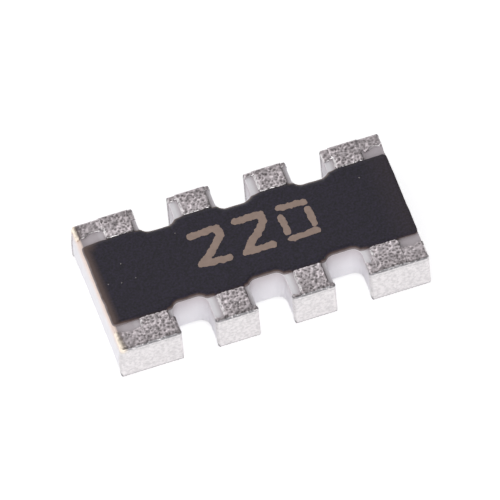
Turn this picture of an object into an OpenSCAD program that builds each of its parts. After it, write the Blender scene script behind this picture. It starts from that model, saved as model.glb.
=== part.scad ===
// Chip resistor array: thick-film resistors side by side on one notched ceramic plate, with plated
// terminals that wrap round the plate's two long edges.
// X runs along the rows of terminals, Y across the plate and Z up from the circuit board. The origin
// is on the board, under the middle of the part. Terminals are numbered along the front row (-Y) from
// left to right, then along the back row from right to left.

/* [Terminal rows] */
// Number of resistors, and of terminals on each long side
resistor_count = 4; // [2:1:5]
// Distance between neighbouring terminals
pitch = 0.8; // [0.7:0.01:1.2]
// Distance from the middle of an end terminal to the end of the part
end_margin = 0.4; // [0.33:0.01:0.6]
// Width over the plated faces of the two rows
overall_width = 1.6; // [1.4:0.01:2.2]

/* [Ceramic plate] */
// Thickness of the ceramic
plate_thickness = 0.4; // [0.2:0.01:0.8]
// Width of the notch between two terminals
notch_width = 0.37; // [0.26:0.01:0.45]
// Radius of a notch's inner corners
notch_radius = 0.1; // [0.02:0.01:0.12]
// Ceramic left between two facing notches
web_width = 0.915; // [0.7:0.005:1.15]
// How far notches and prints sit off the middle, because the plate snapped off its line
snap_offset = 0.022; // [-0.04:0.002:0.04]
// Bevel that the score line leaves along the left end
score_bevel = 0.02; // [0.005:0.005:0.05]

/* [Silver electrodes] */
// Thickness of the printed electrodes
electrode_thickness = 0.012; // [0.006:0.001:0.03]
// Bare ceramic on each side of a top electrode
top_margin = 0.075; // [0.04:0.005:0.11]
// Sideways error of the prints on the top
print_offset = 0.02; // [-0.03:0.005:0.03]
// Space between two facing top electrodes
electrode_gap = 0.78; // [0.5:0.01:0.85]
// Bare ceramic on each side of a bottom electrode
bottom_margin = 0.05; // [0.04:0.005:0.1]
// Length of a bottom electrode in from the edge
bottom_length = 0.3; // [0.15:0.01:0.4]
// Thickness of the edge electrodes
edge_thickness = 0.008; // [0.004:0.001:0.02]
// Reach of an edge electrode over the top and the bottom
edge_wrap = 0.02; // [0.01:0.005:0.1]
// Reach of an end terminal's edge electrode over the top
end_wrap = 0.14; // [0.06:0.01:0.16]
// How much further that reach goes in front, and less far at the back
wrap_offset = 0.04; // [-0.05:0.005:0.05]

/* [Resistors] */
// Width of a resistor film
film_width = 0.36; // [0.2:0.01:0.5]
// Thickness of a film where it lies on its electrodes
film_thickness = 0.008; // [0.004:0.001:0.02]
// Lap of a film over each electrode
film_lap = 0.06; // [0.02:0.005:0.1]
// Width of the laser trim cut
trim_width = 0.03; // [0.01:0.005:0.06]
// Length of the trim cut into the film
trim_length = 0.16; // [0.04:0.01:0.19]
// Thickness of the glass on a film
glass_thickness = 0.006; // [0.003:0.001:0.015]
// Lap of the glass past each edge of its film
glass_lap = 0.025; // [0.01:0.005:0.05]

/* [Overcoat] */
// Thickness of the coat on the glass
coat_thickness = 0.006; // [0.003:0.001:0.02]
// Lap of the coat past the ends of the glass
coat_lap = 0.0325; // [0.01:0.0025:0.06]
// Bare rim between the coat and the notches and the scored end
coat_setback = 0.006; // [0.002:0.001:0.02]

/* [Plating] */
// Thickness of the tin and nickel on the faces of a terminal
plating_thickness = 0.015; // [0.008:0.001:0.03]
// Thickness of the plating where it thins out on a side
side_plating = 0.01; // [0.005:0.001:0.02]
// Radius of the long edges of a terminal
edge_radius = 0.025; // [0.01:0.005:0.045]
// Radius of the corners of a terminal, seen from above and from the front
corner_radius = 0.035; // [0.005:0.0025:0.04]
// Radius of the inner corners of a pad
pad_radius = 0.03; // [0.005:0.005:0.06]

/* [Hidden] */
$fn = 48;
overall_length = (resistor_count - 1) * pitch + 2 * end_margin;
plate_length = overall_length - 2 * side_plating;
plate_width = overall_width - 2 * (edge_thickness + plating_thickness);
finger_width = pitch - notch_width;

// Heights of the layers, from the board up
layers = electrode_thickness + edge_thickness + plating_thickness;
plate_bottom = layers;
plate_top = plate_bottom + plate_thickness;
overall_height = plate_top + layers;
electrode_top = plate_top + electrode_thickness;
film_top = electrode_top + film_thickness;
glass_top = film_top + glass_thickness;
coat_top = glass_top + coat_thickness;
edge_top = electrode_top + edge_thickness;
wrap_top = plate_top + edge_thickness;
strip_top = wrap_top + plating_thickness;
edge_bottom = plate_bottom - electrode_thickness - edge_thickness;

// Sizes of the prints that follow from one another
film_length = electrode_gap + 2 * film_lap;
glass_width = film_width + 2 * glass_lap;
glass_length = film_length + 2 * glass_lap;
coat_x = [score_bevel + coat_setback - plate_length / 2, plate_length / 2];
coat_width = glass_length + 2 * coat_lap;
// A thin plating can't carry larger radii on its edges and corners
plating_edge = min(edge_radius, 3.2 * plating_thickness);
plating_corner = min(
    corner_radius,
    0.9 * (plating_thickness + side_plating + sqrt(2 * plating_thickness * side_plating))
);

terminal_count = 2 * resistor_count;
terminals = [1 : terminal_count];
resistors = [1 : resistor_count];

// Place of a terminal in its row, from 1 at the left end
function place(t) = t <= resistor_count ? t : terminal_count + 1 - t;
// Row of a terminal: -1 in front, 1 at the back
function row(t) = t <= resistor_count ? -1 : 1;
function middle_x(p) = (p - (resistor_count + 1) / 2) * pitch;
function is_end(t) = place(t) == 1 || place(t) == resistor_count;

// Sides of the ceramic finger that a terminal wraps round
function finger_x(t) = [
    place(t) == 1 ? -plate_length / 2 : middle_x(place(t)) - finger_width / 2,
    place(t) == resistor_count ? plate_length / 2 : middle_x(place(t)) + finger_width / 2
];
function top_electrode_x(t) =
    let (x = middle_x(place(t)) + print_offset, half = finger_width / 2 - top_margin)
    [x - half, x + half];
function bottom_electrode_x(t) = widened(finger_x(t), -bottom_margin);
function widened(span, by) = [span[0] - by, span[1] + by];

// Distances in Y, on the terminal's own side
function face_y(t) = row(t) * overall_width / 2;
function plate_y(t) = row(t) * plate_width / 2;
function in_from_plate_y(t, reach) = row(t) * (plate_width / 2 - reach);
function electrode_end_y(t) = snap_offset + row(t) * electrode_gap / 2;
function coat_edge_y(t) = snap_offset + row(t) * coat_width / 2;
function top_wrap(t) = is_end(t) ? end_wrap - row(t) * wrap_offset : edge_wrap;

// A block between two planes on each axis
module block(x, y, z) {
    translate([min(x), min(y), min(z)])
        cube([max(x) - min(x), max(y) - min(y), max(z) - min(z)]);
}

// A rectangle about its middle, with true round corners
module rounded_rectangle(size, radius) {
    square([size[0] - 2 * radius, size[1]], center = true);
    square([size[0], size[1] - 2 * radius], center = true);
    for (x = [-1, 1], y = [-1, 1])
        translate([x * (size[0] / 2 - radius), y * (size[1] / 2 - radius)])
            circle(radius);
}

// The length of the plate between two heights, scored along the left end and snapped clean at the right
module scored_bar(bottom, top) {
    half = plate_length / 2;
    shoulder = half - score_bevel;
    rotate([90, 0, 0])
        linear_extrude(overall_width + pitch, center = true)
            polygon([
                [-shoulder, bottom], [half, bottom], [half, top], [-shoulder, top],
                [-half, top - score_bevel], [-half, bottom + score_bevel]
            ]);
}

// The notches of both long sides, wider and deeper by grow
module notches(grow = 0) {
    size = [notch_width + 2 * grow, overall_width];
    for (gap = [1 : resistor_count - 1], side = [-1, 1])
        translate([middle_x(gap + 0.5), snap_offset + side * (web_width / 2 - grow + overall_width / 2)])
            rounded_rectangle(size, notch_radius + grow);
}

module ceramic_plate() {
    color("whitesmoke")
        difference() {
            intersection() {
                scored_bar(plate_bottom, plate_top);
                translate([0, 0, plate_bottom])
                    linear_extrude(plate_thickness)
                        square([plate_length, plate_width], center = true);
            }
            linear_extrude(overall_height) notches();
        }
}

module top_electrode(t) {
    color("silver")
        block(top_electrode_x(t), [plate_y(t), electrode_end_y(t)], [plate_top, electrode_top]);
}

module bottom_electrode(t) {
    color("silver")
        block(
            bottom_electrode_x(t),
            [plate_y(t), in_from_plate_y(t, bottom_length)],
            [plate_bottom - electrode_thickness, plate_bottom]
        );
}

// Silver band round the finger's end: it steps up over the top electrode and lies lower beside it
module edge_electrode(t) {
    outside = plate_y(t) + row(t) * edge_thickness;
    wrap_y = in_from_plate_y(t, top_wrap(t));
    color("lightgray")
        difference() {
            union() {
                intersection() {
                    scored_bar(edge_bottom, wrap_top);
                    union() {
                        block(finger_x(t), [outside, in_from_plate_y(t, edge_wrap)], [edge_bottom, wrap_top]);
                        block(finger_x(t), [outside, wrap_y], [plate_top, wrap_top]);
                    }
                }
                block(top_electrode_x(t), [outside, wrap_y], [plate_top, edge_top]);
            }
            ceramic_plate();
            top_electrode(t);
            bottom_electrode(t);
            coat_sheet();
        }
}

module facing_electrodes(r) {
    top_electrode(r);
    top_electrode(terminal_count + 1 - r);
}

// A printed patch over the middle of a resistor, from the ceramic up to a height
module patch(r, size, top) {
    translate([middle_x(r) + print_offset, snap_offset, plate_top])
        linear_extrude(top - plate_top)
            square(size, center = true);
}

// The laser cut that runs into a film from its right-hand side
module trim_cut(r) {
    end_x = middle_x(r) + print_offset + film_width / 2;
    block(
        [end_x - trim_length, end_x + 2 * glass_lap],
        [snap_offset - trim_width / 2, snap_offset + trim_width / 2],
        [plate_top, coat_top]
    );
}

module resistor_film(r) {
    color("dimgray")
        difference() {
            patch(r, [film_width, film_length], film_top);
            facing_electrodes(r);
            trim_cut(r);
        }
}

module glass_cover(r) {
    color("darkseagreen")
        difference() {
            patch(r, [glass_width, glass_length], glass_top);
            facing_electrodes(r);
            resistor_film(r);
            trim_cut(r);
        }
}

// The overcoat's outer shape, before it settles round what lies under it
module coat_sheet() {
    translate([0, 0, plate_top])
        linear_extrude(coat_top - plate_top)
            difference() {
                translate([coat_x[0], snap_offset - coat_width / 2])
                    square([coat_x[1] - coat_x[0], coat_width]);
                notches(coat_setback);
            }
}

module overcoat() {
    color("#332f39")
        difference() {
            coat_sheet();
            for (r = resistors) {
                facing_electrodes(r);
                resistor_film(r);
                glass_cover(r);
            }
        }
}

// The outside of all the plating up to a height, with round long edges
module plating_envelope(top) {
    translate([0, 0, top / 2])
        rotate([90, 0, 90])
            linear_extrude(overall_length, center = true)
                rounded_rectangle([overall_width, top], plating_edge);
}

// A terminal's outline seen from the front, with round corners
module front_outline(t) {
    x = widened(finger_x(t), side_plating);
    translate([(x[0] + x[1]) / 2, 0, strip_top / 2])
        rotate([90, 0, 0])
            linear_extrude(2 * overall_width, center = true)
                rounded_rectangle([x[1] - x[0], strip_top], plating_corner);
}

// Plating that wraps round the end of a finger and a little way along its sides
module plated_end(t) {
    x = widened(finger_x(t), side_plating);
    intersection() {
        translate([(x[0] + x[1]) / 2, 0, 0])
            linear_extrude(strip_top)
                rounded_rectangle([x[1] - x[0], overall_width], plating_corner);
        block(x, [face_y(t), in_from_plate_y(t, edge_wrap + side_plating)], [0, strip_top]);
    }
}

// A plated pad over a printed electrode, from an outer plane to its own inner edge
module plated_pad(x, outer_y, inner_y, z) {
    length = abs(inner_y - outer_y);
    intersection() {
        translate([(x[0] + x[1]) / 2, outer_y, min(z)])
            linear_extrude(max(z) - min(z))
                rounded_rectangle([x[1] - x[0], 2 * length], pad_radius);
        block(x, [outer_y, inner_y], z);
    }
}

// The wrap round the finger, low on the bare ceramic, with the bottom pad and the proud top pad
module termination(t) {
    strip_x = widened(finger_x(t), side_plating);
    strip_y = [in_from_plate_y(t, edge_wrap), in_from_plate_y(t, top_wrap(t) + side_plating)];
    bottom_x = widened(bottom_electrode_x(t), side_plating);
    bottom_y = in_from_plate_y(t, bottom_length + side_plating);
    color("#c4c0c2")
        difference() {
            union() {
                intersection() {
                    plating_envelope(strip_top);
                    front_outline(t);
                    union() {
                        plated_end(t);
                        if (is_end(t)) block(strip_x, strip_y, [plate_top, strip_top]);
                    }
                }
                plated_pad(bottom_x, strip_y[0], bottom_y, [0, plate_bottom]);
                intersection() {
                    plating_envelope(overall_height);
                    plated_pad(
                        widened(top_electrode_x(t), side_plating), face_y(t), coat_edge_y(t),
                        [overall_height / 2, overall_height]
                    );
                }
            }
            ceramic_plate();
            top_electrode(t);
            bottom_electrode(t);
            edge_electrode(t);
            coat_sheet();
        }
}

ceramic_plate();
overcoat();
for (r = resistors) {
    resistor_film(r);
    glass_cover(r);
}
for (t = terminals) {
    top_electrode(t);
    bottom_electrode(t);
    edge_electrode(t);
    termination(t);
}
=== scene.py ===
"""Chip resistor array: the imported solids, dressed with grainy tin, black overcoat and white alumina."""
from functools import partial
from math import cos, pi, radians, sin

import bmesh
import bpy
from bpy.props import FloatProperty, FloatVectorProperty, PointerProperty
from mathutils import Matrix, Vector


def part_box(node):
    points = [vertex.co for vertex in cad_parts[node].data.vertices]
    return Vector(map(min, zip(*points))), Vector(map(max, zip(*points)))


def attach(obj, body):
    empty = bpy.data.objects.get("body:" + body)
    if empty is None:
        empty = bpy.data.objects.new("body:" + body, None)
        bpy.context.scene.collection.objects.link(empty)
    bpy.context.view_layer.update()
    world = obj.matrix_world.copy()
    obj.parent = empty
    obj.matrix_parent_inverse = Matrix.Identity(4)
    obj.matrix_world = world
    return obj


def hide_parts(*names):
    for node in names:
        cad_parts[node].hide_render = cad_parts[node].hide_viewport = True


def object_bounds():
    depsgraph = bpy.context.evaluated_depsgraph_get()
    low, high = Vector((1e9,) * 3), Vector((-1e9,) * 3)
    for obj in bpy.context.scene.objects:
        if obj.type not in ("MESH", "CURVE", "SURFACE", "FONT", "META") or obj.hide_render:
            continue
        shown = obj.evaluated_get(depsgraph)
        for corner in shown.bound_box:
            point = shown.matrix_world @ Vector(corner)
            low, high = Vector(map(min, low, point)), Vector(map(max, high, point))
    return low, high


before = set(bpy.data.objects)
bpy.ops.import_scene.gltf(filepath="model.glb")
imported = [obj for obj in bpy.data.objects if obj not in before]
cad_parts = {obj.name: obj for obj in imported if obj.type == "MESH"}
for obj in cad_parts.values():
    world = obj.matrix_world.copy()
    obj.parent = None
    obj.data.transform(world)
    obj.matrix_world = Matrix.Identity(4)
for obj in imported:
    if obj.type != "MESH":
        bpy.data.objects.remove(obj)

bl_info = {
    "name": "Chip Resistor Array",
    "version": (1, 0, 0),
    "blender": (4, 5, 0),
    "location": "3D View > Sidebar > Chip Array",
    "description": "Dresses a chip resistor array and sets it on a white stage",
    "category": "Object",
}

# One millimetre in metres: pieces are shaped in millimetres and scaled when they are finished
MM = 0.001
# Places that are closer than this, in millimetres, count as one
TOUCH = 0.001
WHITE = (1, 1, 1, 1)
CAD_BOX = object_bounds()


def hex_to_linear(hex_colour):
    """A linear colour from an sRGB hex value."""
    channels = [int(hex_colour[start:start + 2], 16) / 255 for start in (1, 3, 5)]
    return tuple(c / 12.92 if c <= 0.04045 else ((c + 0.055) / 1.055) ** 2.4 for c in channels)


def box_mm(node):
    """The lowest and highest corners of a CAD node, in millimetres."""
    low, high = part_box(node)
    return low / MM, high / MM


# Heights and places that the pieces share, from the frame, in millimetres
PART_LOW = Vector(CAD_BOX[0]) / MM
PLATE_LOW, PLATE_HIGH = box_mm("ceramic_plate")
COAT_LOW, COAT_HIGH = box_mm("overcoat")
TERMINALS = range(1, 9)
TOP = box_mm("termination_1")[1].z
ELECTRODES = [box_mm(f"top_electrode_{t}") for t in TERMINALS]
# The plating lies lower beside the pads, by the thickness of the electrode under them
STRIP_TOP = TOP - (ELECTRODES[0][1].z - ELECTRODES[0][0].z)
# Half the width of the band in which a pad's outline is shaped, in millimetres
PAD_SIDE = 0.03

# Points of the value code's strokes on the overcoat, in millimetres: two digits of one stroke each
DIGIT_STROKES = [
    [(-0.54, 0.255), (-0.27, 0.27), (-0.26, 0.17), (-0.43, -0.02), (-0.54, -0.10), (-0.26, -0.12)],
    [(-0.07, 0.27), (0.19, 0.27), (0.19, 0.16), (-0.01, -0.04), (-0.08, -0.12), (0.19, -0.12)],
]
# The nought is four bars, with their width as a share of the other strokes' width
NOUGHT_BARS = [
    [(0.385, 0.27), (0.645, 0.26)],
    [(0.37, 0.16), (0.38, -0.025)],
    [(0.65, 0.165), (0.66, -0.025)],
    [(0.385, -0.12), (0.66, -0.11)],
]
BAR_SHARE = 0.88
# How far the inner edge of a terminal's strip is out of line along Y, in millimetres:
# the side of the pad that it is on, how far by the pad, and how far at the outer edge
STRIP_SHIFTS = {4: (-1, -0.07, -0.07), 5: (1, -0.045, -0.02), 8: (-1, 0.0, -0.05)}
# The terminals at the corners of the part, and how far their silver bands reach in from the plate's edge
CORNER_TERMINALS = (1, 4, 5, 8)
BAND_WRAP = 0.03
# Places of the dust specks on the overcoat, in millimetres
DUST_PLACES = [(-1.48, 0.00), (-1.35, -0.03), (-1.20, -0.02), (-1.29, 0.19), (-0.67, 0.35), (1.25, 0.34)]


def length(name, description, millimetres, least=0):
    """A length property with its default in millimetres."""
    return FloatProperty(
        name=name, description=description, default=millimetres * MM, min=least, precision=6, unit="LENGTH"
    )


def angle(name, description, degrees):
    """An angle property with its default in degrees."""
    return FloatProperty(name=name, description=description, default=radians(degrees), subtype="ANGLE")


def colour(name, description, hex_colour):
    """A colour property with its default as an sRGB hex value."""
    return FloatVectorProperty(
        name=name, description=description, default=hex_to_linear(hex_colour), min=0, max=1, subtype="COLOR"
    )


class ChipArraySizes(bpy.types.PropertyGroup):
    """Sizes of the surface detail."""

    edge_break: length("Ceramic edge", "Bevel on the fired edges of the ceramic", 0.006)
    ledge_round: length("Ledge rounding", "Rounding of the ceramic beside the pads, along the notches", 0.024)
    coat_corner: length("Coat corner", "Rounding of the overcoat's corners", 0.038)
    coat_slope: length("Coat slope", "Width over which the overcoat slopes down to the ceramic", 0.036)
    coat_drop: length("Coat drop", "How far the overcoat slopes down at a free edge", 0.02)
    coat_wave: length("Coat wave", "How far the overcoat's edge wanders", 0.012)
    tin_mesh: length("Tin mesh", "Spacing of the vertices that shape the tin's grain", 0.0075)
    tin_grain: length("Tin grain", "Distance between the pits in the tin on the pads", 0.04)
    tin_relief: length("Tin relief", "Depth of the pits on the pads", 0.009)
    foot_radius: length("Foot radius", "Rounding of the lower side edges of a terminal", 0.045)
    pad_edge: length("Pad edge", "Rounding of the edges of the plating", 0.013)
    pad_flank: length("Pad flank", "Slope along the left side of a pad", 0.024)
    pad_wave: length("Pad wave", "How far the outline of a pad wanders", 0.024)
    face_relief: length("Face relief", "Height of the unevenness on the terminal faces", 0.003)
    strip_wave: length("Strip wave", "How far the inner edge of an end terminal's strip wanders", 0.09)
    end_lean: length("End lean", "How far the foot of the scored end stands out", 0.036)
    stroke_width: length("Stroke width", "Width of the strokes of the value code", 0.076)
    ink_thickness: length("Ink thickness", "Height of the value code over the overcoat", 0.002)
    dust_size: length("Dust size", "Width of a speck of dust", 0.012)


class ChipArrayColours(bpy.types.PropertyGroup):
    """Colours of the finishes."""

    tin: colour("Tin", "Matte tin plating on the faces", "#e3dfe0")
    pad_tin: colour("Pad tin", "Matte tin plating on the pads and strips", "#e9dfe3")
    # Dull tin is also the colour of the painted shade on the pads' right flanks
    dull_and_shaded_tin: colour("Dull tin", "Film in the pits of the tin", "#4f4746")
    # Pitted tin is also the colour of the painted shade on the faces' feet, left sides and upper edges
    pitted_and_shaded_tin: colour("Pitted tin", "Pits and lines on the terminal faces", "#68676a")
    # Warm tin is the colour of a painted warm highlight at the scored end
    warm_highlight_tin: colour("Warm tin", "Tin where the silver under it shows at the scored end", "#ede0d1")
    alumina: colour("Alumina", "White alumina ceramic", "#faf8fd")
    # The stain colour is partly plating stain and partly painted shade
    stain_and_shade_grey: colour("Stain", "Alumina greyed by the plating baths, along its top", "#c9c0c5")
    # The score colour is a painted warm glow, as of light through the ceramic
    end_glow_tint: colour("Score line", "Warm tint where the laser scored the ceramic", "#f0dcd2")
    coat: colour("Overcoat", "Black epoxy overcoat", "#1f192a")
    coat_edge: colour("Coat edge", "Brown of the overcoat where it runs out thin", "#5c4943")
    coat_rim: colour("Coat rim", "Last of the overcoat, with the ceramic showing through", "#8a7f80")
    ink: colour("Ink", "Ink of the value code", "#a38d82")
    dust: colour("Dust", "Lint on the overcoat", "#8f8a88")
    floor: colour("Floor", "Pale studio floor", "#f4f4f5")


class ChipArrayView(bpy.types.PropertyGroup):
    """Where the camera stands."""

    azimuth: angle("Azimuth", "Angle of the camera round the part", -13.975)
    elevation: angle("Elevation", "Angle of the camera above the board", 55.1)
    roll: angle("Roll", "Turn of the camera about its own axis", 5.52)
    frame_width: length("Frame width", "Width of what the camera sees at the part", 4.948)
    aim_right: length("Aim right", "Sideways distance from the origin to the aim", -0.030, least=-1)
    aim_up: length("Aim up", "Upward distance from the origin to the aim", 0.175, least=-1)
    lens: FloatProperty(name="Lens", description="Focal length in millimetres", default=1400, unit="CAMERA")


def set_inputs(node, inputs):
    """Sets a node's inputs, by name or in the node's own order, or links them to a socket or a node."""
    for name, value in inputs.items() if isinstance(inputs, dict) else enumerate(inputs):
        if isinstance(value, bpy.types.Node):
            value = next(socket for socket in value.outputs if socket.enabled)
        if isinstance(value, bpy.types.NodeSocket):
            node.id_data.links.new(value, node.inputs[name])
        else:
            node.inputs[name].default_value = value


# A Map Range node's own order is the value, the two ends of the range that it runs through, and the
# results at those ends, which are 0 and 1 if they aren't given
def add_node(tree, kind, inputs=(), **settings):
    """Adds a shader node with its settings, its values and its links."""
    node = tree.nodes.new("ShaderNode" + kind)
    for name, value in settings.items():
        setattr(node, name, value)
    set_inputs(node, inputs)
    return node


def start_material(name, base, roughness, metallic=0.0):
    """A new material, what adds nodes to it, its shader, and its Object coordinates in millimetres."""
    material = bpy.data.materials.new(name)
    material.use_nodes = True
    add = partial(add_node, material.node_tree)
    shader = material.node_tree.nodes["Principled BSDF"]
    set_inputs(shader, {"Base Color": shade(base), "Roughness": roughness, "Metallic": metallic})
    metres = add("TexCoord").outputs["Object"]
    place = add("Mapping", {"Vector": metres, "Scale": (1 / MM, 1 / MM, 1 / MM)})
    return material, add, shader, place


def shade(base, factor=1):
    """A colour made lighter or darker, with full alpha."""
    return (*(min(1, channel * factor) for channel in base), 1)


def matte_tin(colours, sizes):
    """Electroplated matte tin: bright crystals with dull pores on the pads, mottled satin on the faces."""
    material, add, shader, place = start_material("matte tin plating", colours.tin, 0.32, 1.0)
    # Real tin crystals are a few thousandths of a millimetre wide: the grain is drawn coarse enough to show
    grain, relief = sizes.tin_grain / MM, sizes.tin_relief
    # Sizes in millimetres of the tarnished patches, the mottling on the faces and the bends of their line
    tarnish_size, mottle_size, bend_size = 0.1, 0.03, 0.15
    face, end = -PART_LOW.y, PART_LOW.x
    x, y, z = add("SeparateXYZ", {"Vector": place}).outputs
    normal = add("NewGeometry").outputs["Normal"]
    rightward, _, upward = add("SeparateXYZ", {"Vector": normal}).outputs
    across = add("Math", (y,), operation="ABSOLUTE")
    steep = add("Math", (upward,), operation="ABSOLUTE")
    level = add("MapRange", (steep, 0.72, 0.9))
    pad = add("MapRange", (z, STRIP_TOP + 0.003, STRIP_TOP + 0.008))
    # Ridges of tin stand round small pits, deepest on the pads
    warp = add("TexNoise", {"Vector": place, "Scale": 1 / (1.5 * grain), "Detail": 2})
    warped = add(
        "VectorMath", (warp.outputs["Color"], (grain, grain, grain), place), operation="MULTIPLY_ADD"
    )
    pits = add(
        "TexVoronoi", {"Vector": warped, "Scale": 1 / grain, "Smoothness": 0.2},
        voronoi_dimensions="2D", feature="SMOOTH_F1",
    )
    depth = add("MapRange", (pad, 0, 1, 0.3 * relief, 0.6 * relief))
    bump = add("Bump", {"Height": pits, "Strength": level, "Distance": depth})
    # Each crystal leans its own way
    crystals = add("TexVoronoi", {"Vector": place, "Scale": 2 / grain}).outputs["Color"]
    centred = add("VectorMath", (crystals, (0.5, 0.5, 0.5)), operation="SUBTRACT")
    lean = add("VectorMath", {0: centred, "Scale": 0.34}, operation="SCALE")
    leaned = add("VectorMath", (lean, bump), operation="ADD")
    facing = add("VectorMath", (leaned,), operation="NORMALIZE")
    # The pores are dull, and the ridges between them are tarnished in patches
    darkest = add("MapRange", (pad, 0, 1, 0.4, 0.26))
    tarnish = add("TexNoise", {"Vector": place, "Scale": 1 / tarnish_size, "Detail": 2})
    brightest = add("MapRange", (tarnish, 0.35, 0.65, 0.78, 1.0))
    pores = add("MapRange", (pits, 0.1, 0.45, darkest, brightest))
    # The tin dulls towards the outer edges
    dulling = add("MapRange", (across, face - 0.2, face - 0.02, 1.08, 0.78))
    shine = add("Math", (pores, dulling), operation="MULTIPLY")
    # The faces are mottled, with a faint line where the dipped silver under the tin steps
    mottle = add("TexNoise", {"Vector": place, "Scale": 1 / mottle_size, "Detail": 4})
    spots = add("MapRange", (mottle, 0.35, 0.6, 0.74, 0.98))
    bends = add("TexNoise", {"Vector": place, "Scale": 1 / bend_size, "Detail": 3})
    bent = add("Math", (bends, 0.06, z), operation="MULTIPLY_ADD")
    away = add("Math", (bent, STRIP_TOP - 0.02), operation="SUBTRACT")
    apart = add("Math", (away,), operation="ABSOLUTE")
    step = add("MapRange", (apart, 0, 0.016, 0.82, 1.0))
    # Painted shade: the faces are darker at their feet, where they reflect the shade under the part, and on
    # the left sides, most of all at the foot
    foot = add("MapRange", (z, 0.018, 0.042, 0.5, 1.0))
    left_foot_shade, left_side_shade = [add("MapRange", (rightward, -0.7, -0.3, dull, 1.0)) for dull in (0.1, 0.8)]
    left = add("MapRange", (z, 0.03, 0.07, left_foot_shade, left_side_shade))
    # Painted shade on the upper outer edges, in patches with gaps, which dims the reflections along them
    edge_shade = add("MapRange", (mottle, 0.54, 0.68, 0.85, 0.25))
    edge = add("MapRange", (z, STRIP_TOP - 0.03, STRIP_TOP - 0.015))
    outer = add("MapRange", (across, face - 0.05, face - 0.03))
    for share in (edge, outer):
        edge_shade = add("Math", (edge_shade, share), operation="MULTIPLY")
    edge_unshaded = add("Math", (1.0, edge_shade), operation="SUBTRACT")
    # The faces' mottle and step line, together with the painted shade, mix the pitted tin into the bright tin
    mottle_and_shade = spots
    for share in (step, left, foot, edge_unshaded):
        mottle_and_shade = add("Math", (mottle_and_shade, share), operation="MULTIPLY")
    # Painted shade on the right flanks of the pads, where they stand over bare ceramic, as the light comes
    # from the left
    flank = add("MapRange", (rightward, 0.25, 0.5, 0, 0.75))
    raised = add("Math", (z, PLATE_HIGH.z + TOUCH), operation="GREATER_THAN")
    between = add("Math", (x,), operation="ABSOLUTE")
    strip_edge = add("MapRange", (between, 0.85, 0.9, 0.73, 0.64))
    inside = add("Math", (across, strip_edge), operation="LESS_THAN")
    for share in (raised, inside):
        flank = add("Math", (flank, share), operation="MULTIPLY")
    # The laser left a brown line beside the scored edge
    beside_score = add("MapRange", (x, end + 0.03, end + 0.07, 0.75, 0.0))
    burnt = add("Math", (beside_score, level), operation="MULTIPLY")
    # Painted warm highlight at the scored end, reaching furthest in at the front
    reach = add("MapRange", (y, -face, 0.25 - face, end + 0.065, end + 0.03))
    at_end = add("MapRange", (x, end + 0.01, reach, 1.0, 0.0))
    high = add("MapRange", (z, STRIP_TOP - 0.07, STRIP_TOP - 0.02))
    thin = add("Math", (at_end, high), operation="MULTIPLY")
    upright, flat = [
        add("Mix", {0: share, 6: shade(dark), 7: shade(bright)}, data_type="RGBA")
        for share, dark, bright in (
            (mottle_and_shade, colours.pitted_and_shaded_tin, colours.tin), (shine, colours.dull_and_shaded_tin, colours.pad_tin)
        )
    ]
    shown = add("Mix", {0: level, 6: upright, 7: flat}, data_type="RGBA")
    # Layers: painted shade on the right flanks, the brown line by the score, and the painted warm highlight
    # at the scored end
    for share, tint in ((flank, colours.dull_and_shaded_tin), (burnt, colours.coat_edge), (thin, colours.warm_highlight_tin)):
        shown = add("Mix", {0: share, 6: shown, 7: shade(tint)}, data_type="RGBA")
    set_inputs(shader, {"Base Color": shown, "Normal": facing})
    return material


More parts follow.
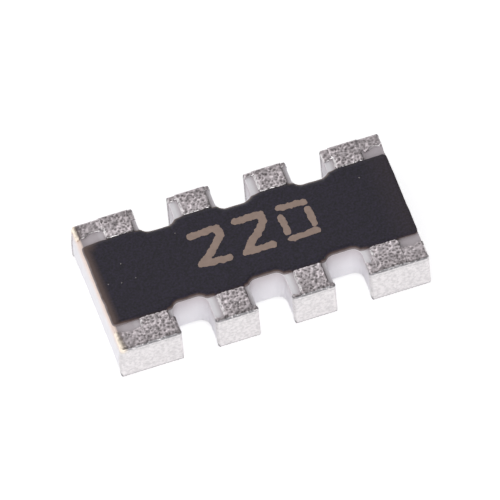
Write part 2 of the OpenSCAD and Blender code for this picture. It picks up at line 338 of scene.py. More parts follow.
def fired_alumina(colours):
    """Fired alumina: matte white, greyed towards the top partly by the plating baths and partly by painted
    shade, with a painted warm glow and painted shade at the scored end.
    """
    material, add, shader, place = start_material("fired alumina", colours.alumina, 0.62)
    # Sizes in millimetres of faint clouds, and of grit that is drawn coarser than the real grains to show
    cloud_size, grit_size = 0.12, 0.012
    end = PLATE_LOW.x
    x, y, z = add("SeparateXYZ", {"Vector": place}).outputs
    normal = add("NewGeometry").outputs["Normal"]
    upward = add("SeparateXYZ", {"Vector": normal}).outputs["Z"]
    clouds = add("TexNoise", {"Vector": place, "Scale": 1 / cloud_size, "Detail": 5})
    dark, bright = shade(colours.alumina, 0.95), shade(colours.alumina, 1.03)
    shown = add("Mix", {0: clouds, 6: dark, 7: bright}, data_type="RGBA")
    # The grey deepens over the last tenths of a millimetre below the top: partly plating stain, partly
    # painted shade, as the upper walls get less light than the lower ones, which face the floor
    rise = add("MapRange", (z, PLATE_LOW.z + 0.08, PLATE_HIGH.z))
    stain_and_shade_rise = add("Math", (rise, 2.0), operation="POWER")
    # Painted shade on the level ledges beside the pads, fading towards the notches; the bare patches at the
    # ends keep the full grey
    pad_left, pad_right = ELECTRODES[0][0].x, ELECTRODES[0][1].x
    pitch = ELECTRODES[1][0].x - pad_left
    pad_middle, pad_half = (pad_left + pad_right) / 2, (pad_right - pad_left) / 2
    counted = add("Math", (x, pad_middle - 4 * pitch), operation="SUBTRACT")
    from_pad = add("Math", (counted, pitch / 2), operation="PINGPONG")
    beside_pad_shade = add("MapRange", (from_pad, pad_half + 0.01, pad_half + 0.06, 1.0, 0.2))
    from_middle = add("Math", (x,), operation="ABSOLUTE")
    ledge_shade_share = add("MapRange", (from_middle, 1.3, 1.4, beside_pad_shade))
    ledge = add("MapRange", (upward, 0.3, 0.9, 1.0, ledge_shade_share))
    film_and_shade = add("Math", (stain_and_shade_rise, ledge), operation="MULTIPLY")
    # The scored end has a painted warm glow along its top, as of light through the ceramic, and painted shade
    # below it, with a brown tint on the level ceramic beside it
    at_end = add("MapRange", (x, end + 0.028, end + 0.016))
    high = add("MapRange", (z, PLATE_HIGH.z - 0.14, PLATE_HIGH.z - 0.01))
    end_shade, end_glow = shade(colours.alumina, 0.86), shade(colours.end_glow_tint)
    end_glow_and_shade = add("Mix", {0: high, 6: end_shade, 7: end_glow}, data_type="RGBA")
    burnt = add("MapRange", (x, end + 0.03, end + 0.1, 0.3, 0.0))
    # Brown resin has run over the scored edge
    run = add("MapRange", (x, COAT_LOW.x - 0.022, COAT_LOW.x + 0.002))
    coat_middle, coat_half = (COAT_LOW.y + COAT_HIGH.y) / 2, (COAT_HIGH.y - COAT_LOW.y) / 2
    centred = add("Math", (y, coat_middle), operation="SUBTRACT")
    beside = add("Math", (centred,), operation="ABSOLUTE")
    under_coat = add("MapRange", (beside, coat_half - 0.02, coat_half - 0.07))
    near_end = add("Math", (x, COAT_LOW.x + 0.02), operation="LESS_THAN")
    for share in (under_coat, near_end):
        run = add("Math", (run, share), operation="MULTIPLY")
    # The foot of the scored end is darker beside the terminals
    foot_darkening = add("MapRange", (z, PLATE_LOW.z + 0.015, PLATE_LOW.z + 0.04, 0.75, 0.0))
    from_axis = add("Math", (y,), operation="ABSOLUTE")
    by_terminal = add("MapRange", (from_axis, 0.5, 0.6))
    for share in (by_terminal, at_end):
        foot_darkening = add("Math", (foot_darkening, share), operation="MULTIPLY")
    # Layers: grey that is partly stain and partly painted shade, the brown tint, the painted glow and shade
    # at the scored end, the resin run, and the darker foot
    for share, tint in (
        (film_and_shade, shade(colours.stain_and_shade_grey)),
        (burnt, shade(colours.coat_edge)),
        (at_end, end_glow_and_shade),
        (run, shade(colours.coat_edge)),
        (foot_darkening, shade(colours.pitted_and_shaded_tin)),
    ):
        shown = add("Mix", {0: share, 6: shown, 7: tint}, data_type="RGBA")
    grit = add("TexNoise", {"Vector": place, "Scale": 1 / grit_size, "Detail": 3})
    bump = add("Bump", {"Height": grit, "Strength": 0.5, "Distance": 0.002 * MM})
    set_inputs(shader, {"Base Color": shown, "Normal": bump})
    return material


def epoxy_overcoat(colours, sizes):
    """Screen-printed black epoxy: satin, a little violet, speckled, brown where it runs out thin."""
    material, add, shader, place = start_material("black epoxy overcoat", colours.coat, 0.5)
    # Size in millimetres of the specks of filler, which are drawn coarser than the real powder to show
    speck_size = 0.022
    x, _, z = add("SeparateXYZ", {"Vector": place}).outputs
    filler = add("TexNoise", {"Vector": place, "Scale": 1 / speck_size, "Detail": 4})
    speckled = add("MapRange", (filler, 0.3, 0.7))
    dark, bright = shade(colours.coat, 0.2), shade(colours.coat, 1.9)
    shown = add("Mix", {0: speckled, 6: dark, 7: bright}, data_type="RGBA")
    rim = COAT_HIGH.z - sizes.coat_drop / MM
    thin = add("MapRange", (z, rim, COAT_HIGH.z - TOUCH, 1.0, 0.0), interpolation_type="SMOOTHSTEP")
    # The print runs out slowly at the scored end, most of all at its back corner, and a little at the other
    scored = add("MapRange", (x, COAT_LOW.x, COAT_LOW.x + 0.07, 0.6, 0.0))
    from_corner = add("VectorMath", (place, (COAT_LOW.x, COAT_HIGH.y, COAT_HIGH.z)), operation="DISTANCE")
    corner = add("MapRange", (from_corner, 0.03, 0.16, 0.65, 0.0), interpolation_type="SMOOTHSTEP")
    snapped = add("MapRange", (x, COAT_HIGH.x - 0.3, COAT_HIGH.x, 0, 0.1))
    thinner = thin
    for share in (scored, corner, snapped):
        thinner = add("Math", (thinner, share), operation="MAXIMUM")
    browner = add("MapRange", (thinner, 0, 0.7))
    paler = add("MapRange", (thin, 0.7))
    for share, tint in ((browner, colours.coat_edge), (paler, colours.coat_rim)):
        shown = add("Mix", {0: share, 6: shown, 7: shade(tint)}, data_type="RGBA")
    gloss = add("MapRange", (filler, 0, 1, 0.4, 0.6))
    bump = add("Bump", {"Height": filler, "Strength": 0.8, "Distance": 0.004 * MM})
    set_inputs(shader, {"Base Color": shown, "Roughness": gloss, "Normal": bump})
    return material


def stencil_ink(colours):
    """Tan marking ink: flat, chalky, thinner in patches."""
    material, add, shader, place = start_material("tan marking ink", colours.ink, 0.7)
    patch_size = 0.05
    patches = add("TexNoise", {"Vector": place, "Scale": 1 / patch_size, "Detail": 4})
    dark, bright = shade(colours.ink, 0.82), shade(colours.ink, 1.15)
    patched = add("Mix", {0: patches, 6: dark, 7: bright}, data_type="RGBA")
    set_inputs(shader, {"Base Color": patched})
    return material


def mottled_layer(name, base, roughness, metallic, grain):
    """A fired print of one paste, mottled by the grains of its powder."""
    material, add, shader, place = start_material(name, base, roughness, metallic)
    powder = add("TexNoise", {"Vector": place, "Scale": 1 / grain, "Detail": 3})
    mottled = add("Mix", {0: powder, 6: shade(base, 0.75), 7: shade(base, 1.2)}, data_type="RGBA")
    bump = add("Bump", {"Height": powder, "Strength": 0.5, "Distance": 0.002 * MM})
    set_inputs(shader, {"Base Color": mottled, "Normal": bump})
    return material


def white_board(colours):
    """Matte white studio board: white to the camera and in reflections, with the soft shadow left on it."""
    material, add, shader, place = start_material("matte white board", colours.floor, 0.9)
    fibre_size, whiteness = 2.0, 0.56
    fibre = add("TexNoise", {"Vector": place, "Scale": 1 / fibre_size, "Detail": 2})
    dark, bright = shade(colours.floor, 0.99), shade(colours.floor)
    tinted = add("Mix", {0: fibre, 6: dark, 7: bright}, data_type="RGBA")
    path = add("LightPath").outputs
    seen = add("Math", (path["Is Camera Ray"], path["Is Glossy Ray"]), operation="ADD")
    shown = add("Math", (seen, path["Is Transmission Ray"]), operation="ADD", use_clamp=True)
    glow = add("Math", (shown, whiteness), operation="MULTIPLY")
    set_inputs(shader, {"Base Color": tinted, "Emission Color": WHITE, "Emission Strength": glow})
    return material


def activate(piece):
    """Selects one piece alone and makes it the active one."""
    bpy.ops.object.select_all(action="DESELECT")
    piece.select_set(True)
    bpy.context.view_layer.objects.active = piece


def copy_solid(node, name):
    """A copy of a CAD solid in millimetres, merged, with each flat face as one polygon."""
    weld, flat = 0.0002, radians(1)
    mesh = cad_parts[node].data.copy()
    mesh.materials.clear()
    piece = bpy.data.objects.new(name, mesh)
    bpy.context.collection.objects.link(piece)
    activate(piece)
    piece.scale = (1 / MM, 1 / MM, 1 / MM)
    bpy.ops.object.transform_apply(location=False, rotation=False, scale=True)
    bpy.ops.object.mode_set(mode="EDIT")
    bpy.ops.mesh.select_all(action="SELECT")
    bpy.ops.mesh.customdata_custom_splitnormals_clear()
    bpy.ops.mesh.remove_doubles(threshold=weld)
    bpy.ops.mesh.dissolve_limited(angle_limit=flat)
    bpy.ops.object.mode_set(mode="OBJECT")
    return piece


def select(piece, kind, test):
    """In edit mode, selects only the vertices, edges or faces that pass a test."""
    bpy.ops.mesh.select_mode(type=kind)
    bpy.ops.mesh.select_all(action="DESELECT")
    shape = bmesh.from_edit_mesh(piece.data)
    for part in {"VERT": shape.verts, "EDGE": shape.edges, "FACE": shape.faces}[kind]:
        part.select_set(bool(test(part)))
    bmesh.update_edit_mesh(piece.data)


def bevel_by_weight(piece, width, segments, weight):
    """Bevels each edge by its own share of a width."""
    shape = bmesh.new()
    shape.from_mesh(piece.data)
    share = shape.edges.layers.float.new("bevel_weight_edge")
    for edge in shape.edges:
        edge[share] = weight(edge)
    shape.to_mesh(piece.data)
    shape.free()
    bevel = piece.modifiers.new("bevel", "BEVEL")
    bevel.limit_method = "WEIGHT"
    bevel.width = width
    bevel.segments = segments
    activate(piece)
    bpy.ops.object.modifier_apply(modifier="bevel")


def cut_at(axis, places):
    """In edit mode, cuts the whole piece by planes across an axis."""
    across = Vector((axis == "X", axis == "Y", axis == "Z"))
    for place in places:
        bpy.ops.mesh.select_all(action="SELECT")
        bpy.ops.mesh.bisect(plane_co=across * place, plane_no=across)


def spread(low, high, spacing):
    """Evenly spaced places strictly between two ends."""
    count = max(1, round((high - low) / spacing))
    return [low + (high - low) * step / count for step in range(1, count)]


def push(piece, name, direction, reach, weight, texture=None):
    """Moves vertices in a direction, each by its own share of a reach, or up and down by a texture."""
    group = piece.vertex_groups.new(name=name)
    for vertex in piece.data.vertices:
        share = min(1.0, weight(vertex.co))
        if share > 0:
            group.add([vertex.index], share, "REPLACE")
    displace = piece.modifiers.new(name, "DISPLACE")
    displace.vertex_group = group.name
    displace.direction = direction
    displace.strength = reach
    displace.mid_level = 0.5 if texture else 0
    displace.texture = texture
    displace.texture_coords = "LOCAL"
    activate(piece)
    bpy.ops.object.modifier_apply(modifier=name)


def roughen(piece, name, kind, grain, relief, test, direction="NORMAL"):
    """Displaces the vertices that pass a test by a grain of a real size and height."""
    texture = bpy.data.textures.new(name, kind)
    texture.noise_scale = grain
    push(piece, name, direction, relief, test, texture)


def join_pieces(pieces, name):
    """Joins pieces into one."""
    activate(pieces[0])
    for piece in pieces:
        piece.select_set(True)
    bpy.ops.object.join()
    pieces[0].name = name
    return pieces[0]


def scored_lean(place):
    """Share of the lean at a place: all of it over the lower part of the scored end, and less above."""
    depth, rise = 0.06, 1.4
    outward = (PLATE_LOW.x + depth - place.x) / depth
    return outward * (rise - place.z / PLATE_HIGH.z)


def finish_piece(piece, material, slot=None, *nodes):
    """Scales a piece to metres, gives it its finish, and sets it on the frame."""
    activate(piece)
    piece.scale = (MM, MM, MM)
    bpy.ops.object.transform_apply(location=True, rotation=True, scale=True)
    piece.vertex_groups.clear()
    piece.data.materials.clear()
    piece.data.materials.append(material)
    bpy.ops.object.shade_smooth_by_angle(angle=radians(40))
    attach(piece, "root")
    if nodes:
        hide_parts(*nodes)
    bpy.ops.object.select_all(action="DESELECT")


def top_edge(edge, height):
    """Whether an edge lies at a height and is sharp."""
    level = all(abs(point.co.z - height) < TOUCH for point in edge.verts)
    return level and len(edge.link_faces) == 2 and edge.calc_face_angle() > radians(50)


def is_across(edge):
    """Whether an edge runs along Y, from front to back."""
    along = edge.verts[1].co - edge.verts[0].co
    return abs(along.y) > 0.99 * along.length


def is_left_side(edge):
    """Whether an edge runs from front to back with a face on its left."""
    return is_across(edge) and any(face.normal.x < -0.9 for face in edge.link_faces)


def chosen(scene):
    """The sizes and colours as the user set them."""
    return scene.chip_array_sizes, scene.chip_array_colours


class CHIP_ARRAY_OT_plate(bpy.types.Operator):
    """Makes the ceramic plate, with broken edges and rough snapped ends"""

    bl_idname = "chip_array.plate"
    bl_label = "Ceramic Plate"

    def execute(self, context):
        sizes, colours = chosen(context.scene)
        plate = copy_solid("ceramic_plate", "notched_ceramic_plate")
        bevel_by_weight(plate, sizes.ledge_round / MM, 4, lambda edge: self.share(edge, sizes))
        bpy.ops.object.mode_set(mode="EDIT")
        spacing, wave_size, wave = 0.03, 0.09, 0.012
        cut_at("Y", spread(PLATE_LOW.y, PLATE_HIGH.y, spacing))
        cut_at("Z", spread(PLATE_LOW.z, PLATE_HIGH.z, spacing))
        bpy.ops.object.mode_set(mode="OBJECT")
        snapped = PLATE_HIGH.x - 0.015
        roughen(plate, "snapped ends", "CLOUDS", wave_size, wave, lambda place: abs(place.x) > snapped)
        push(plate, "lean", "X", -sizes.end_lean / MM, scored_lean)
        finish_piece(plate, fired_alumina(colours), "alumina", "ceramic_plate")
        return {"FINISHED"}

    @staticmethod
    def share(edge, sizes):
        """How much of the ledge's rounding an edge gets: all of it along a notch, clear of the coat."""
        if edge.calc_face_angle(0) < radians(40):
            return 0.0
        least = sizes.edge_break / sizes.ledge_round
        middle = (edge.verts[0].co + edge.verts[1].co) / 2
        on_top = middle.z > PLATE_HIGH.z - TOUCH
        from_end = PLATE_HIGH.x - abs(middle.x)
        in_notch = from_end > 0.1 and PLATE_LOW.y + TOUCH < middle.y < PLATE_HIGH.y - TOUCH
        # The rounding grows over this distance from the coat, in millimetres
        growth = 0.05
        clear = max(COAT_LOW.y - middle.y, middle.y - COAT_HIGH.y) / growth
        return max(least, min(1.0, clear)) if on_top and in_notch else least


class CHIP_ARRAY_OT_overcoat(bpy.types.Operator):
    """Makes the black overcoat, sloping down to the ceramic between the pads"""

    bl_idname = "chip_array.overcoat"
    bl_label = "Overcoat"

    def execute(self, context):
        sizes, colours = chosen(context.scene)
        coat = copy_solid("overcoat", "black_overcoat")
        bpy.ops.object.mode_set(mode="EDIT")
        select(coat, "EDGE", self.is_corner)
        bpy.ops.mesh.bevel(offset=sizes.coat_corner / MM, segments=4, affect="EDGES")
        cut_at("X", sorted({round(corner.x, 4) for box in ELECTRODES for corner in box}))
        select(coat, "FACE", lambda face: face.normal.z > 0.99 and face.verts[0].co.z > COAT_HIGH.z - TOUCH)
        bpy.ops.mesh.inset(thickness=sizes.coat_slope / MM, use_even_offset=True)
        # The rim goes down to the ceramic, and by a third of that where a pad or the clean end holds it
        for held, drop in ((False, sizes.coat_drop), (True, sizes.coat_drop / 3)):
            select(coat, "VERT", lambda point: self.is_on_rim(point) and self.is_held(point.co) == held)
            bpy.ops.transform.translate(value=(0, 0, -drop / MM))
        spacing, wave_size = 0.04, 0.1
        cut_at("X", spread(COAT_LOW.x, COAT_HIGH.x, spacing))
        cut_at("Y", spread(COAT_LOW.y, COAT_HIGH.y, spacing))
        bpy.ops.object.mode_set(mode="OBJECT")
        roughen(coat, "wandering edge", "CLOUDS", wave_size, sizes.coat_wave / MM, self.is_on_slope)
        # At the scored end the print runs out over the ceramic's edge
        run, reach = 0.03, 0.07
        push(coat, "run out", "X", -run, lambda place: 1 - (place.x - COAT_LOW.x) / reach)
        finish_piece(coat, epoxy_overcoat(colours, sizes), "overcoat_resin", "overcoat")
        return {"FINISHED"}

    @staticmethod
    def is_on_slope(place):
        """Whether a place is on the coat's sloping rim, and not in a pocket under it."""
        side_band, end_band, depth = 0.1, 0.03, 0.004
        near_side = min(abs(place.y - COAT_LOW.y), abs(place.y - COAT_HIGH.y)) < side_band
        near_end = min(abs(place.x - COAT_LOW.x), abs(place.x - COAT_HIGH.x)) < end_band
        return place.z < COAT_HIGH.z - depth and (near_side or near_end)

    @staticmethod
    def is_on_rim(point):
        """Whether a vertex lies on the outline of the coat's top."""
        beside_wall = any(abs(face.normal.z) < 0.5 for face in point.link_faces)
        return beside_wall and point.co.z > COAT_HIGH.z - TOUCH

    @staticmethod
    def is_corner(edge):
        """Whether an edge is an outer upright corner of the coat."""
        low, high = sorted(point.co.z for point in edge.verts)
        upright = low < COAT_LOW.z + TOUCH and high > COAT_HIGH.z - TOUCH
        return upright and edge.is_convex and edge.calc_face_angle(0) > radians(30)

    @staticmethod
    def is_held(place):
        """Whether a place on the rim lies against a pad or at the clean right end."""
        clean_band = 0.045
        at_side = min(abs(place.y - COAT_LOW.y), abs(place.y - COAT_HIGH.y)) < TOUCH
        at_pad = any(low.x - TOUCH < place.x < high.x + TOUCH for low, high in ELECTRODES)
        return (at_side and at_pad) or place.x > COAT_HIGH.x - clean_band


class CHIP_ARRAY_OT_terminals(bpy.types.Operator):
    """Makes the eight plated terminals, grainy on the pads and satin on the faces"""

    bl_idname = "chip_array.terminals"
    bl_label = "Terminals"

    def execute(self, context):
        sizes, colours = chosen(context.scene)
        tin = matte_tin(colours, sizes)
        for number in TERMINALS:
            node = f"termination_{number}"
            low, high = box_mm(node)
            terminal = copy_solid(node, f"tin_terminal_{number}")
            self.round_feet(terminal, low, high, sizes.foot_radius / MM)
            self.bevel_edges(terminal, low, high, sizes)
            self.shape_strip(terminal, number, sizes.strip_wave / MM)
            self.grain_tin(terminal, number, sizes)
            push(terminal, "lean", "X", -sizes.end_lean / MM, scored_lean)
            finish_piece(terminal, tin, "tin_plating", node)
        return {"FINISHED"}

    @staticmethod
    def round_feet(terminal, low, high, radius):
        """Rounds the lower side edges of a terminal by keeping what lies in a round-bottomed trough."""
        room = 0.0005
        bpy.ops.mesh.primitive_cube_add(size=1, location=(low + high) / 2)
        trough = bpy.context.object
        trough.scale = high - low + Vector((2 * room, 1, 2 * room))
        bpy.ops.object.transform_apply()
        bpy.ops.object.mode_set(mode="EDIT")
        select(trough, "EDGE", lambda edge: all(point.co.z < 0 for point in edge.verts) and is_across(edge))
        bpy.ops.mesh.bevel(offset=radius, segments=6, affect="EDGES")
        bpy.ops.object.mode_set(mode="OBJECT")
        keep = terminal.modifiers.new("round feet", "BOOLEAN")
        keep.operation = "INTERSECT"
        keep.object = trough
        activate(terminal)
        bpy.ops.object.modifier_apply(modifier="round feet")
        bpy.data.objects.remove(trough)

    @staticmethod
    def bevel_edges(terminal, low, high, sizes):
        """Slopes the pad's left flank, rounds the top edges, and cuts the mesh finely for the grain."""
        points = terminal.data.vertices
        inner = min(abs(point.co.y) for point in points if abs(point.co.z - STRIP_TOP) < TOUCH) - 0.005

        def is_over_plate(edge):
            return abs(edge.verts[0].co.y + edge.verts[1].co.y) / 2 < inner

        bpy.ops.object.mode_set(mode="EDIT")
        cut_at("Y", [inner if low.y > 0 else -inner])
        select(
            terminal, "EDGE", lambda edge: top_edge(edge, TOP) and is_left_side(edge) and is_over_plate(edge)
        )
        bpy.ops.mesh.bevel(offset=sizes.pad_flank / MM, segments=1, affect="EDGES")
        # Over the strip the pad's sides are too low for the full rounding
        for height, over_plate, width in (
            (TOP, True, sizes.pad_edge),
            (TOP, False, 0.6 * sizes.pad_edge),
            (STRIP_TOP, None, sizes.pad_edge),
        ):
            select(
                terminal, "EDGE",
                lambda edge: top_edge(edge, height) and edge.is_convex
                and over_plate in (None, is_over_plate(edge)),
            )
            bpy.ops.mesh.bevel(offset=width / MM, segments=3, affect="EDGES")
        spacing = sizes.tin_mesh / MM
        cut_at("X", spread(low.x, high.x, spacing))
        cut_at("Y", spread(low.y, high.y, spacing))
        cut_at("Z", spread(low.z, high.z, 3 * spacing))
        bpy.ops.object.mode_set(mode="OBJECT")

    @staticmethod
    def shape_strip(terminal, number, wave):
        """Lets the inner edge of a strip wander, and shifts it where it is out of line."""
        low, high = box_mm(f"termination_{number}")
        pad_low, pad_high = ELECTRODES[number - 1]
        face = max(abs(low.y), abs(high.y))
        inner = min(abs(corner.y) for corner in box_mm(f"edge_electrode_{number}"))
        wave_size = 0.16

        def on_strip_edge(place):
            beside_pad = place.x < pad_low.x - PAD_SIDE or place.x > pad_high.x + PAD_SIDE
            return beside_pad and place.z > PLATE_HIGH.z - TOUCH and abs(place.y) < inner + 0.02

        roughen(terminal, "wandering strip", "CLOUDS", wave_size, wave, on_strip_edge, "Y")
        if number not in STRIP_SHIFTS:
            return
        side, by_pad, at_edge = STRIP_SHIFTS[number]
        pad_side, outer_side = (pad_high.x, high.x) if side > 0 else (pad_low.x, low.x)

        def shift(place):
            along = (place.x - pad_side) / (outer_side - pad_side)
            on_strip = along > 0 and abs(place.x - pad_side) > PAD_SIDE and place.z > PLATE_HIGH.z - TOUCH
            inward = min(1.0, (face - abs(place.y)) / (face - inner))
            return on_strip * inward * -(by_pad + (at_edge - by_pad) * along)

        push(terminal, "shifted strip", "Y", -1, shift)

    @staticmethod
    def grain_tin(terminal, number, sizes):
        """Makes the pad's outline uneven, and gives the pad, the strip and the faces their grain."""
        low, high = box_mm(f"termination_{number}")
        pad_low, pad_high = ELECTRODES[number - 1]
        face = max(abs(low.y), abs(high.y))
        pad_end = min(abs(COAT_LOW.y), COAT_HIGH.y) + 0.06
        grain, relief, wave = sizes.tin_grain / MM, sizes.tin_relief / MM, sizes.pad_wave / MM
        wave_size, front_relief, back_edge = 0.03, 0.006, face - 0.03

        def on_pad_side(place):
            beside = min(abs(place.x - pad_low.x), abs(place.x - pad_high.x)) < PAD_SIDE
            return beside and place.z > STRIP_TOP + TOUCH

        def on_pad_end(place):
            return abs(place.y) < pad_end and place.z > STRIP_TOP + TOUCH

        def on_front(place):
            return place.y < 0.04 - face and place.z > STRIP_TOP - 0.03

        def on_pad(place):
            return place.z > TOP - 0.005 and place.y < back_edge

        def on_strip(place):
            return STRIP_TOP - 0.004 < place.z < STRIP_TOP + 0.002 and place.y < back_edge

        def on_face(place):
            return abs(place.y) > face - 0.004

        roughen(terminal, "uneven sides", "CLOUDS", wave_size, wave, on_pad_side, "X")
        roughen(terminal, "uneven end", "CLOUDS", wave_size, wave, on_pad_end, "Y")
        roughen(terminal, "uneven front", "CLOUDS", wave_size, front_relief, on_front)
        roughen(terminal, "pad grain", "VORONOI", grain, relief / 2, on_pad)
        roughen(terminal, "strip grain", "VORONOI", grain, relief / 4, on_strip)
        roughen(terminal, "face grain", "CLOUDS", grain, sizes.face_relief / MM, on_face)


class CHIP_ARRAY_OT_value_code(bpy.types.Operator):
    """Makes the three digits of the value code as thin raised ink"""

    bl_idname = "chip_array.value_code"
    bl_label = "Value Code"

    def execute(self, context):
        sizes, colours = chosen(context.scene)
        bars = []
        for strokes, share in ((DIGIT_STROKES, 1), (NOUGHT_BARS, BAR_SHARE)):
            width = share * sizes.stroke_width / MM
            for stroke in strokes:
                bars += [self.add_bar(Vector(a), Vector(b), width) for a, b in zip(stroke, stroke[1:])]
                bars += [self.add_end(Vector(point), width) for point in stroke]
        code = join_pieces(bars, "value_code")
        self.fuse(code)
        self.press_flat(code, sizes.ink_thickness / MM)
        finish_piece(code, stencil_ink(colours))
        return {"FINISHED"}

    @staticmethod
    def add_bar(start, end, width):
        """A straight bar of ink, still as thick as it is wide."""
        along = end - start
        bpy.ops.mesh.primitive_cube_add(size=1, location=(*((start + end) / 2), 0))
        bar = bpy.context.object
        bar.scale = (along.length, width, width)
        bar.rotation_euler.z = -Vector((1, 0)).angle_signed(along)
        bpy.ops.object.transform_apply()
        return bar

    @staticmethod
    def add_end(point, width):
        """A round end or joint of a stroke."""
        bpy.ops.mesh.primitive_cylinder_add(vertices=24, radius=width / 2, depth=width, location=(*point, 0))
        bpy.ops.object.transform_apply()
        return bpy.context.object

    @staticmethod
    def fuse(code):
        """Joins the bars into strokes with uneven edges."""
        voxel, wave_size, wave = 0.008, 0.05, 0.042
        remesh = code.modifiers.new("fuse", "REMESH")
        remesh.mode = "VOXEL"
        remesh.voxel_size = voxel
        activate(code)
        bpy.ops.object.modifier_apply(modifier="fuse")
        soften = code.modifiers.new("soften", "SMOOTH")
        soften.iterations = 4
        bpy.ops.object.modifier_apply(modifier="soften")
        roughen(code, "rough edge", "CLOUDS", wave_size, wave, lambda place: True)

    @staticmethod
    def press_flat(code, thickness):
        """Presses the strokes to the ink's thickness and sets them on the overcoat."""
        tall = max(abs(vertex.co.z) for vertex in code.data.vertices)
        code.scale.z = thickness / tall
        code.location.z = COAT_HIGH.z
        activate(code)
        bpy.ops.object.transform_apply()


class CHIP_ARRAY_OT_dust(bpy.types.Operator):
    """Makes the specks of dust on the overcoat"""

    bl_idname = "chip_array.dust"
    bl_label = "Dust"

    def execute(self, context):
        sizes, colours = chosen(context.scene)
        specks = []
        for x, y in DUST_PLACES:
            bpy.ops.mesh.primitive_ico_sphere_add(
                subdivisions=2, radius=sizes.dust_size / MM / 2, location=(x, y, COAT_HIGH.z)
            )
            specks.append(bpy.context.object)
        dust = join_pieces(specks, "dust_specks")
        bpy.ops.object.transform_apply()
        rag, lint = 0.008, 0.004
        roughen(dust, "ragged dust", "CLOUDS", rag, rag, lambda place: True)
        finish_piece(dust, mottled_layer("grey lint", colours.dust, 0.8, 0.0, lint))
        return {"FINISHED"}


class CHIP_ARRAY_OT_inner_layers(bpy.types.Operator):
    """Gives the printed layers under the plating and the coat their finishes"""

    bl_idname = "chip_array.inner_layers"
    bl_label = "Inner Layers"

    def execute(self, context):
        silver = mottled_layer("fired silver print", hex_to_linear("#c9c5bd"), 0.45, 1.0, 0.012)
        finishes = {
            "resistor_film": mottled_layer("ruthenium oxide film", hex_to_linear("#2b2c2e"), 0.55, 0.0, 0.02),
            "glass_cover": mottled_layer("green cover glass", hex_to_linear("#5f7a68"), 0.2, 0.0, 0.04),
            "top_electrode": silver,
            "bottom_electrode": silver,
            "edge_electrode": mottled_layer("dipped silver edge", hex_to_linear("#d1cdc6"), 0.5, 1.0, 0.02),
        }
        for name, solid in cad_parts.items():
            finish = finishes.get(name.rsplit("_", 1)[0])
            if finish:
                solid.data.materials.clear()
                solid.data.materials.append(finish)
        for number in CORNER_TERMINALS:
            self.trim_band(number, finishes["edge_electrode"])
        return {"FINISHED"}

    @staticmethod
    def trim_band(number, silver):
        """Makes a corner terminal's silver band, which ends well inside the tin's edge."""
        node = f"edge_electrode_{number}"
        band = copy_solid(node, f"silver_band_{number}")
        outward = Vector((0, 1 if box_mm(node)[0].y > 0 else -1, 0))
        bpy.ops.object.mode_set(mode="EDIT")
        bpy.ops.mesh.select_all(action="SELECT")
        bpy.ops.mesh.bisect(
            plane_co=outward * (PLATE_HIGH.y - BAND_WRAP), plane_no=outward, use_fill=True, clear_inner=True
        )
        bpy.ops.object.mode_set(mode="OBJECT")
        finish_piece(band, silver, "edge_silver", node)


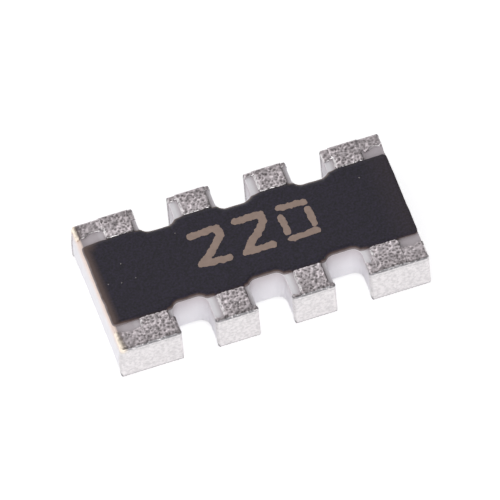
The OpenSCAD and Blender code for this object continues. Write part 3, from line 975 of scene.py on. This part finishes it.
class CHIP_ARRAY_OT_stage(bpy.types.Operator):
    """Makes the floor, the soft light and the camera"""

    bl_idname = "chip_array.stage"
    bl_label = "Stage"

    def execute(self, context):
        context.scene.view_settings.view_transform = "Standard"
        self.make_floor(context.scene.chip_array_colours)
        self.make_sky(context.scene)
        self.make_lamp("left softbox", azimuth=-75, elevation=20, distance=16, size=12, radiance=0.8)
        self.make_lamp("front softbox", azimuth=0, elevation=22, distance=16, size=12, radiance=1.5)
        self.make_camera(context.scene, context.scene.chip_array_view)
        return {"FINISHED"}

    @staticmethod
    def make_floor(colours):
        bpy.ops.object.select_all(action="DESELECT")
        bpy.ops.mesh.primitive_plane_add(size=200 * MM, location=(0, 0, -TOUCH * MM))
        floor = bpy.context.object
        floor.name = "studio_floor"
        floor.data.materials.append(white_board(colours))

    @staticmethod
    def make_sky(scene):
        """White near the horizon, grey overhead and to the right, so that level tin is darker."""
        world = bpy.data.worlds.new("soft studio")
        scene.world = world
        world.use_nodes = True
        add = partial(add_node, world.node_tree)
        direction = add("TexCoord").outputs["Generated"]
        x, y, z = add("SeparateXYZ", {"Vector": direction}).outputs
        dimming, behind, away = [
            add("MapRange", (axis, start, stop, first, last), interpolation_type="SMOOTHSTEP")
            for axis, start, stop, first, last in (
                (z, 0.35, 0.85, 0.95, 0.43), (y, 0.1, 0.7, 0.0, 0.28), (x, -0.35, 0.75, 1.15, 0.35)
            )
        ]
        level = add("Math", (dimming, behind), operation="ADD")
        lit = add("Math", (level, away), operation="MULTIPLY")
        seen = add("LightPath").outputs["Is Camera Ray"]
        strength = add("Mix", {0: seen, 2: lit, 3: 1.0}, data_type="FLOAT")
        set_inputs(world.node_tree.nodes["Background"], {"Color": WHITE, "Strength": strength})

    @staticmethod
    def make_lamp(name, azimuth, elevation, distance, size, radiance):
        """A square lamp that faces the part; azimuth 0 is in front, and sizes are in millimetres."""
        data = bpy.data.lights.new(name, "AREA")
        data.size = size * MM
        data.energy = radiance * pi * data.size ** 2
        lamp = bpy.data.objects.new(name, data)
        around, above = radians(azimuth), radians(elevation)
        place = Vector((sin(around) * cos(above), -cos(around) * cos(above), sin(above)))
        lamp.location = place * distance * MM
        lamp.rotation_euler = place.to_track_quat("Z", "Y").to_euler()
        bpy.context.collection.objects.link(lamp)

    @staticmethod
    def make_camera(scene, view):
        """The camera at the photograph's angle, far off behind a long lens."""
        data = bpy.data.cameras.new("camera")
        data.lens = view.lens
        camera = bpy.data.objects.new("camera", data)
        turn = Matrix.Rotation(view.azimuth, 3, "Z") @ Matrix.Rotation(pi / 2 - view.elevation, 3, "X")
        turn = turn @ Matrix.Rotation(-view.roll, 3, "Z")
        right, up, back = turn.col[0], turn.col[1], turn.col[2]
        distance = view.frame_width * view.lens / data.sensor_width
        camera.location = right * view.aim_right + up * view.aim_up + back * distance
        camera.rotation_euler = turn.to_euler()
        data.clip_start = distance / 100
        data.clip_end = distance * 10
        bpy.context.collection.objects.link(camera)
        scene.camera = camera


STEPS = (
    CHIP_ARRAY_OT_plate,
    CHIP_ARRAY_OT_overcoat,
    CHIP_ARRAY_OT_terminals,
    CHIP_ARRAY_OT_value_code,
    CHIP_ARRAY_OT_dust,
    CHIP_ARRAY_OT_inner_layers,
    CHIP_ARRAY_OT_stage,
)


class CHIP_ARRAY_PT_panel(bpy.types.Panel):
    """Lists the steps and the values that shape the part"""

    bl_label = "Chip Resistor Array"
    bl_space_type = "VIEW_3D"
    bl_region_type = "UI"
    bl_category = "Chip Array"

    def draw(self, context):
        for step in STEPS:
            self.layout.operator(step.bl_idname)
        scene = context.scene
        for group in (scene.chip_array_sizes, scene.chip_array_colours, scene.chip_array_view):
            box = self.layout.box()
            for name in group.__annotations__:
                box.prop(group, name)


CLASSES = (ChipArraySizes, ChipArrayColours, ChipArrayView, *STEPS, CHIP_ARRAY_PT_panel)


def register():
    for cls in CLASSES:
        bpy.utils.register_class(cls)
    bpy.types.Scene.chip_array_sizes = PointerProperty(type=ChipArraySizes)
    bpy.types.Scene.chip_array_colours = PointerProperty(type=ChipArrayColours)
    bpy.types.Scene.chip_array_view = PointerProperty(type=ChipArrayView)


def unregister():
    del bpy.types.Scene.chip_array_sizes
    del bpy.types.Scene.chip_array_colours
    del bpy.types.Scene.chip_array_view
    for cls in reversed(CLASSES):
        bpy.utils.unregister_class(cls)


def main():
    register()
    bpy.ops.chip_array.plate()
    bpy.ops.chip_array.overcoat()
    bpy.ops.chip_array.terminals()
    bpy.ops.chip_array.value_code()
    bpy.ops.chip_array.dust()
    bpy.ops.chip_array.inner_layers()
    bpy.ops.chip_array.stage()


if __name__ == "__main__":
    main()
